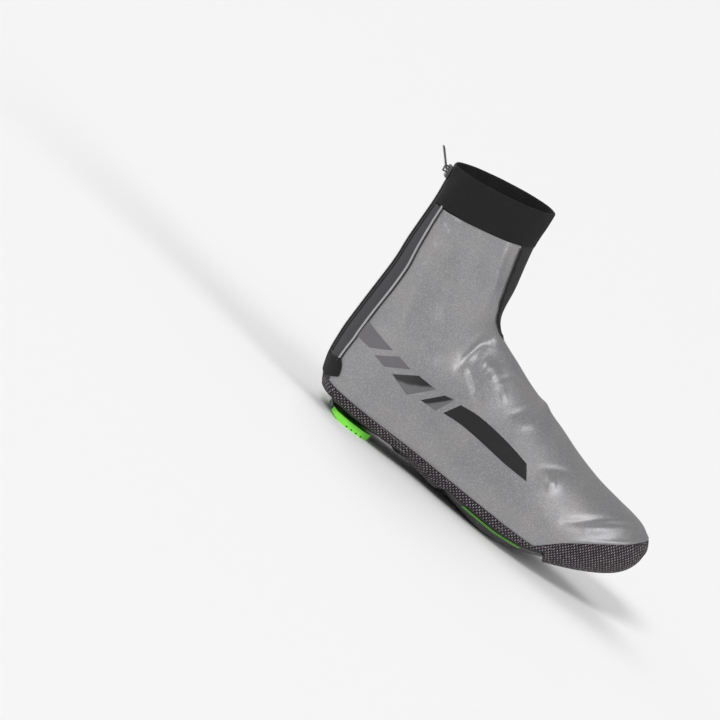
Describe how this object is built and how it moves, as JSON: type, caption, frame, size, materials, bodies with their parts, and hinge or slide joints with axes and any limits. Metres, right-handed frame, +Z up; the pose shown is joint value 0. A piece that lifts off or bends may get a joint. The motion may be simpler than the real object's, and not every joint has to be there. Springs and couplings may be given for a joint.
{
  "type": "cycling overshoe",
  "caption": "Right cycling overshoe with reflective side panels, elastic collar band, rear zip and open underside, pulled over a three-bolt road sole.",
  "frame": {"origin": "on the floor, under the middle of the heel tread", "axes": "+X from heel to toe, +Y to the inner (medial) side of the right foot, +Z up"},
  "size_m": [0.3354, 0.1027, 0.2273],
  "materials": {
    "reflective": "coated reflective knit, satin",
    "elastic": "fine black elastic knit",
    "woven": "coarse black abrasion cloth",
    "zip_tape": "woven tape with a nylon coil",
    "nylon": "moulded black nylon",
    "foam": "cloth-faced foam",
    "lime": "matt lime rubber",
    "hard_pad": "grey moulded plastic",
    "steel": "dark plated metal"
  },
  "bodies": {
    "overshoe": {"upper": "reflective", "collar_band": "elastic", "under_panel": "woven", "heel_patch": "woven", "zip_chain": "zip_tape", "outsole": "nylon", "insole": "foam", "foxing_strip": "lime", "heel_tread": "lime", "heel_pad": "hard_pad", "heel_screw": "steel", "insert_front": "steel", "insert_rear_outer": "steel", "insert_rear_inner": "steel", "zip_slider": "steel"},
    "pull_tab": {"zip_pull": "steel"}
  },
  "joints": [
    {"name": "pull_tab_hinge", "type": "hinge", "parent": "overshoe", "child": "pull_tab", "pos_m": [-0.06769, 0, 0.20188], "axis": [0, -1, 0], "range_deg": [-30, 120]}
  ]
}
